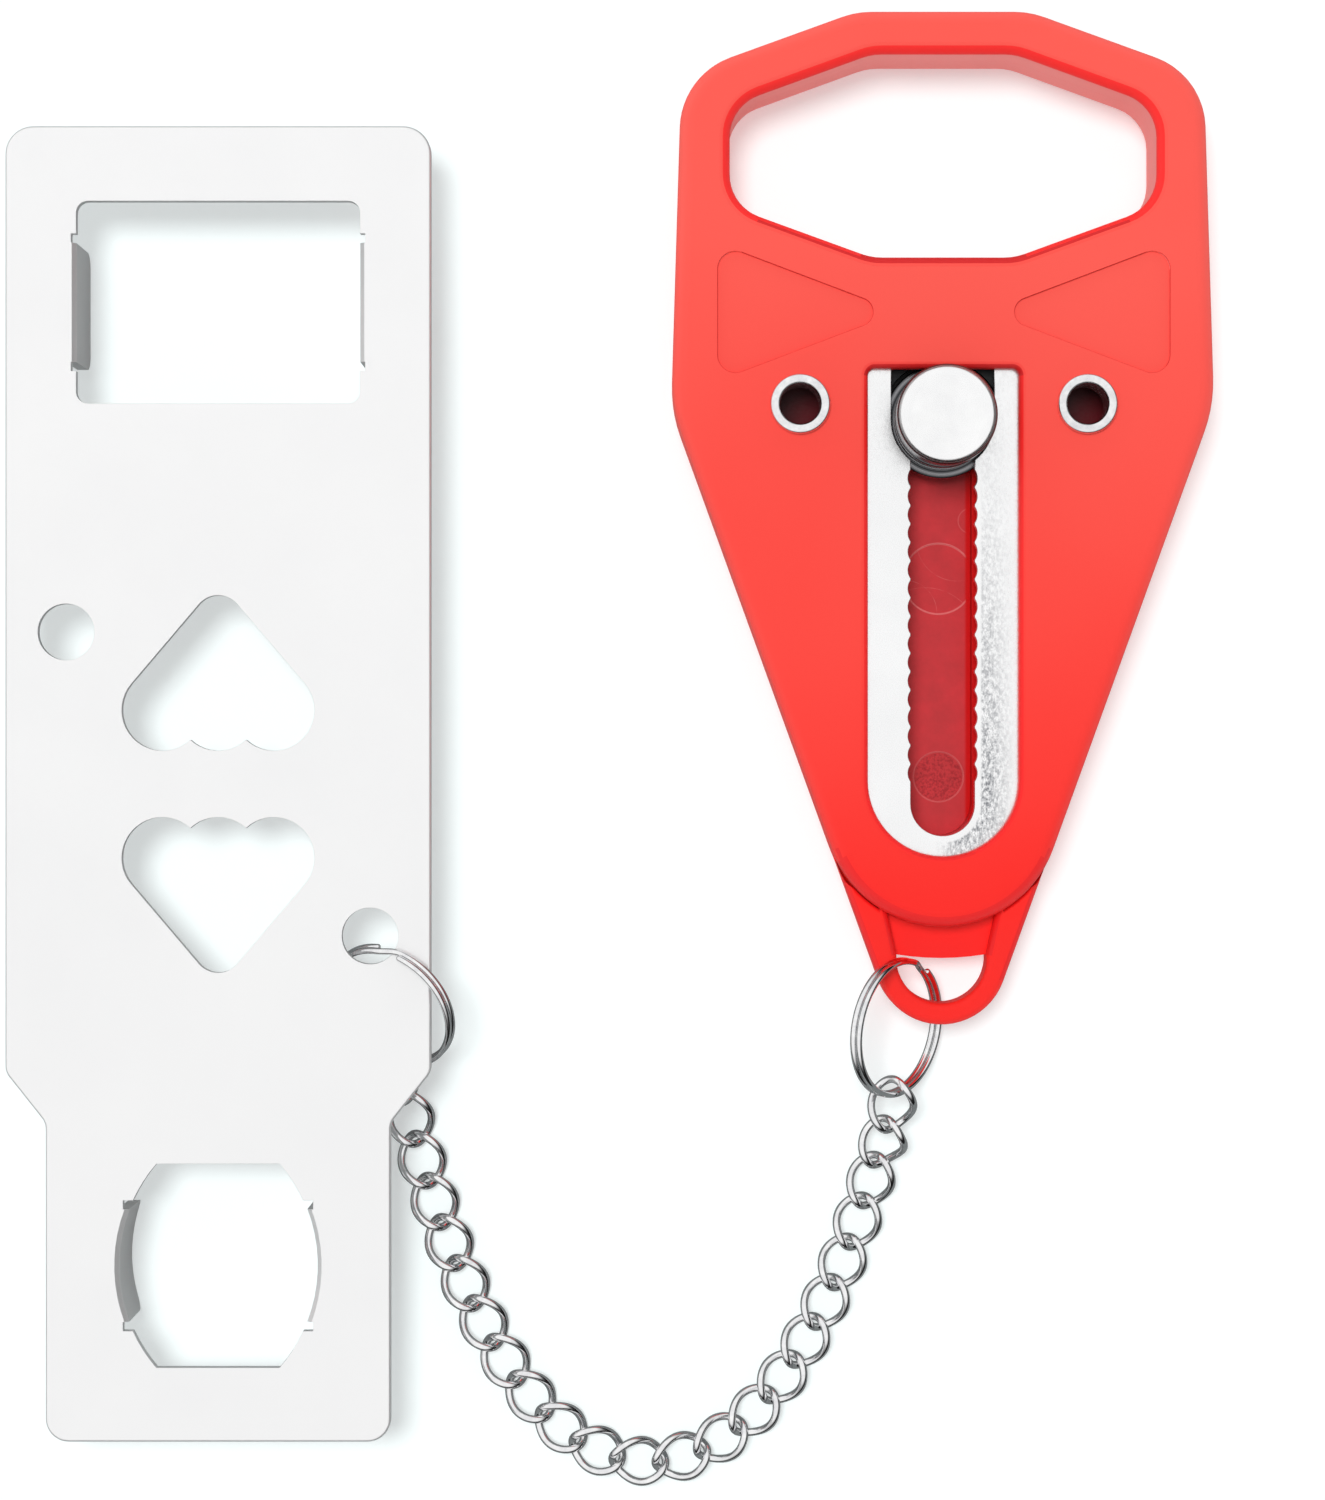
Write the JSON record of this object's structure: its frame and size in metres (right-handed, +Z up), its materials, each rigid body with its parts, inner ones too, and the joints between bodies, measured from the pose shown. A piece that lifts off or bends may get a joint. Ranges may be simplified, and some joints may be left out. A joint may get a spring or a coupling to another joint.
{
  "type": "portable door lock",
  "caption": "Portable door lock: claw-footed strike plate tied by a curb chain and split rings to a tapered grip handle whose stud slides along a toothed steel track.",
  "frame": {"origin": "middle of the bounding box of the laid-out set, on the floor that it lies on", "axes": "+Z up from the floor, +Y along the strike plate and the handle from tail to grip, +X from the plate to the handle"},
  "size_m": [0.1619, 0.1996, 0.0185],
  "materials": {
    "plate_steel": "satin bright zinc",
    "ring_steel": "bright nickel",
    "chain_steel": "bright nickel",
    "red_plastic": "fine satin",
    "track_steel": "satin zinc",
    "rivet_steel": "bright zinc",
    "stud_steel": "turned and plated"
  },
  "bodies": {
    "lock_body": {"front_housing": "red_plastic", "rear_housing": "red_plastic", "track_plate": "track_steel", "rivet_left": "rivet_steel", "rivet_right": "rivet_steel"},
    "stud": {"locking_stud": "stud_steel"},
    "handle_ring": {"handle_split_ring": "ring_steel"},
    "plate_ring": {"plate_split_ring": "ring_steel"},
    "plate": {"strike_plate": "plate_steel"},
    "end_link": {"chain_end_link": "chain_steel"},
    "link_01": {"chain_link_01": "chain_steel"},
    "link_02": {"chain_link_02": "chain_steel"},
    "link_03": {"chain_link_03": "chain_steel"},
    "link_04": {"chain_link_04": "chain_steel"},
    "link_05": {"chain_link_05": "chain_steel"},
    "link_06": {"chain_link_06": "chain_steel"},
    "link_07": {"chain_link_07": "chain_steel"},
    "link_08": {"chain_link_08": "chain_steel"},
    "link_09": {"chain_link_09": "chain_steel"},
    "link_10": {"chain_link_10": "chain_steel"},
    "link_11": {"chain_link_11": "chain_steel"},
    "link_12": {"chain_link_12": "chain_steel"},
    "link_13": {"chain_link_13": "chain_steel"},
    "link_14": {"chain_link_14": "chain_steel"},
    "link_15": {"chain_link_15": "chain_steel"},
    "link_16": {"chain_link_16": "chain_steel"},
    "link_17": {"chain_link_17": "chain_steel"},
    "link_18": {"chain_link_18": "chain_steel"},
    "link_19": {"chain_link_19": "chain_steel"},
    "link_20": {"chain_link_20": "chain_steel"},
    "link_21": {"chain_link_21": "chain_steel"},
    "link_22": {"chain_link_22": "chain_steel"}
  },
  "joints": [
    {"name": "stud_slide", "type": "slide", "parent": "lock_body", "child": "stud", "axis": [0, -1, 0], "range_m": [0, 0.0516]},
    {"name": "handle_ring_at_loop", "type": "hinge", "parent": "lock_body", "child": "handle_ring", "pos_m": [0.0424, -0.0296, 0.005], "axis": [0, 0, 1], "range_deg": [-6, 6]},
    {"name": "chain_at_handle_ring", "type": "hinge", "parent": "handle_ring", "child": "link_22", "pos_m": [0.03838, -0.04583, 0.00687], "axis": [0, 0, 1], "range_deg": [-8, 8]},
    {"name": "link_21_on_link_22", "type": "hinge", "parent": "link_22", "child": "link_21", "pos_m": [0.03748, -0.05046, 0.00519], "axis": [0, 0, -1], "range_deg": [-10, 10]},
    {"name": "link_20_on_link_21", "type": "hinge", "parent": "link_21", "child": "link_20", "pos_m": [0.03608, -0.05559, 0.0025], "axis": [0, 0, -1], "range_deg": [-10, 10]},
    {"name": "link_19_on_link_20", "type": "hinge", "parent": "link_20", "child": "link_19", "pos_m": [0.03436, -0.06122, 0.00161], "axis": [0, 0, 1], "range_deg": [-10, 10]},
    {"name": "link_18_on_link_19", "type": "hinge", "parent": "link_19", "child": "link_18", "pos_m": [0.03242, -0.06686, 0.00161], "axis": [0, 0, 1], "range_deg": [-10, 10]},
    {"name": "link_17_on_link_18", "type": "hinge", "parent": "link_18", "child": "link_17", "pos_m": [0.03023, -0.0724, 0.00161], "axis": [0, 0, -1], "range_deg": [-10, 10]},
    {"name": "link_16_on_link_17", "type": "hinge", "parent": "link_17", "child": "link_16", "pos_m": [0.02772, -0.07781, 0.00161], "axis": [0, 0, -1], "range_deg": [-10, 10]},
    {"name": "link_15_on_link_16", "type": "hinge", "parent": "link_16", "child": "link_15", "pos_m": [0.0248, -0.08301, 0.00161], "axis": [0, 0, 1], "range_deg": [-10, 10]},
    {"name": "link_14_on_link_15", "type": "hinge", "parent": "link_15", "child": "link_14", "pos_m": [0.02134, -0.08787, 0.00161], "axis": [0, 0, 1], "range_deg": [-10, 10]},
    {"name": "link_13_on_link_14", "type": "hinge", "parent": "link_14", "child": "link_13", "pos_m": [0.01719, -0.09214, 0.00161], "axis": [0, 0, -1], "range_deg": [-10, 10]},
    {"name": "link_12_on_link_13", "type": "hinge", "parent": "link_13", "child": "link_12", "pos_m": [0.01221, -0.09542, 0.00161], "axis": [0, 0, -1], "range_deg": [-10, 10]},
    {"name": "link_11_on_link_12", "type": "hinge", "parent": "link_12", "child": "link_11", "pos_m": [0.00647, -0.09703, 0.00161], "axis": [0, 0, 1], "range_deg": [-10, 10]},
    {"name": "link_10_on_link_11", "type": "hinge", "parent": "link_11", "child": "link_10", "pos_m": [0.00054, -0.09648, 0.00161], "axis": [0, 0, 1], "range_deg": [-10, 10]},
    {"name": "link_09_on_link_10", "type": "hinge", "parent": "link_10", "child": "link_09", "pos_m": [-0.00486, -0.09396, 0.00161], "axis": [0, 0, -1], "range_deg": [-10, 10]},
    {"name": "link_08_on_link_09", "type": "hinge", "parent": "link_09", "child": "link_08", "pos_m": [-0.00942, -0.09012, 0.00161], "axis": [0, 0, -1], "range_deg": [-10, 10]},
    {"name": "link_07_on_link_08", "type": "hinge", "parent": "link_08", "child": "link_07", "pos_m": [-0.01321, -0.08551, 0.00161], "axis": [0, 0, 1], "range_deg": [-10, 10]},
    {"name": "link_06_on_link_07", "type": "hinge", "parent": "link_07", "child": "link_06", "pos_m": [-0.01638, -0.08046, 0.00161], "axis": [0, 0, 1], "range_deg": [-10, 10]},
    {"name": "link_05_on_link_06", "type": "hinge", "parent": "link_06", "child": "link_05", "pos_m": [-0.01908, -0.07515, 0.00161], "axis": [0, 0, -1], "range_deg": [-10, 10]},
    {"name": "link_04_on_link_05", "type": "hinge", "parent": "link_05", "child": "link_04", "pos_m": [-0.02142, -0.06967, 0.00161], "axis": [0, 0, -1], "range_deg": [-10, 10]},
    {"name": "link_03_on_link_04", "type": "hinge", "parent": "link_04", "child": "link_03", "pos_m": [-0.02348, -0.06408, 0.00161], "axis": [0, 0, 1], "range_deg": [-10, 10]},
    {"name": "link_02_on_link_03", "type": "hinge", "parent": "link_03", "child": "link_02", "pos_m": [-0.02532, -0.0584, 0.00161], "axis": [0, 0, 1], "range_deg": [-10, 10]},
    {"name": "link_01_on_link_02", "type": "hinge", "parent": "link_02", "child": "link_01", "pos_m": [-0.02697, -0.05268, 0.00161], "axis": [0, 0, -1], "range_deg": [-10, 10]},
    {"name": "end_link_on_link_01", "type": "hinge", "parent": "link_01", "child": "end_link", "pos_m": [-0.02847, -0.04693, 0.00217], "axis": [0, 0, -1], "range_deg": [-10, 10]},
    {"name": "plate_ring_on_chain", "type": "hinge", "parent": "end_link", "child": "plate_ring", "pos_m": [-0.02838, -0.04201, 0.00303], "axis": [0, 0, 1], "range_deg": [-8, 8]},
    {"name": "plate_on_plate_ring", "type": "hinge", "parent": "plate_ring", "child": "plate", "pos_m": [-0.0324, -0.02445, 0.01075], "axis": [0, 0, 1], "range_deg": [-6, 6]}
  ]
}
